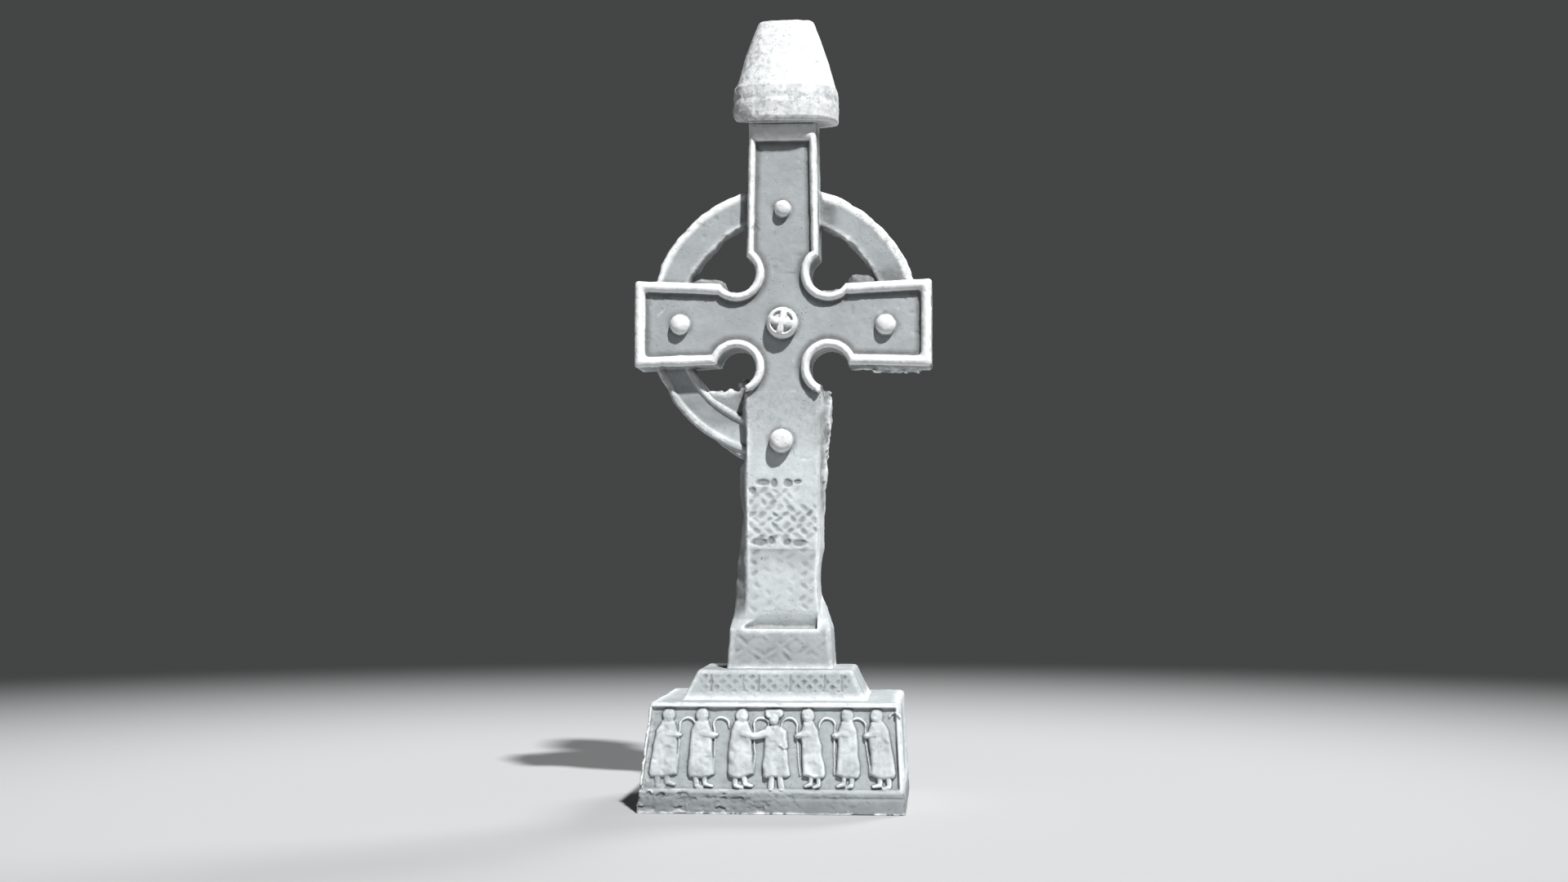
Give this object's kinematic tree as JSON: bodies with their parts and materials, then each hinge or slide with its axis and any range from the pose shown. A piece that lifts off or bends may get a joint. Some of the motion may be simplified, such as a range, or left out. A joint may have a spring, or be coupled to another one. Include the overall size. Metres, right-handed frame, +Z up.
{
  "type": "ringed cross memorial",
  "caption": "Weathered ringed stone cross with rolled rims, bosses and knotwork, a conical capstone and a stepped plinth carved with robed figures; part of its ring is broken away.",
  "frame": {"origin": "middle of the underside of the plinth, on the ground under the arms' centre", "axes": "+Z up the shaft, +X along the arms to the viewer's right, the carved front faces -Y"},
  "size_m": [1.176, 0.85, 3.121],
  "materials": {
    "plinth_stone": "weathered pale grey sandstone, rough, darker towards the ground",
    "cross_stone": "weathered pale grey sandstone, worn lighter on rims and bosses",
    "cap_stone": "weathered near-white sandstone with grey lichen mottling"
  },
  "bodies": {
    "root": {"plinth": "plinth_stone", "ringed_cross": "cross_stone", "capstone": "cap_stone"}
  },
  "joints": []
}
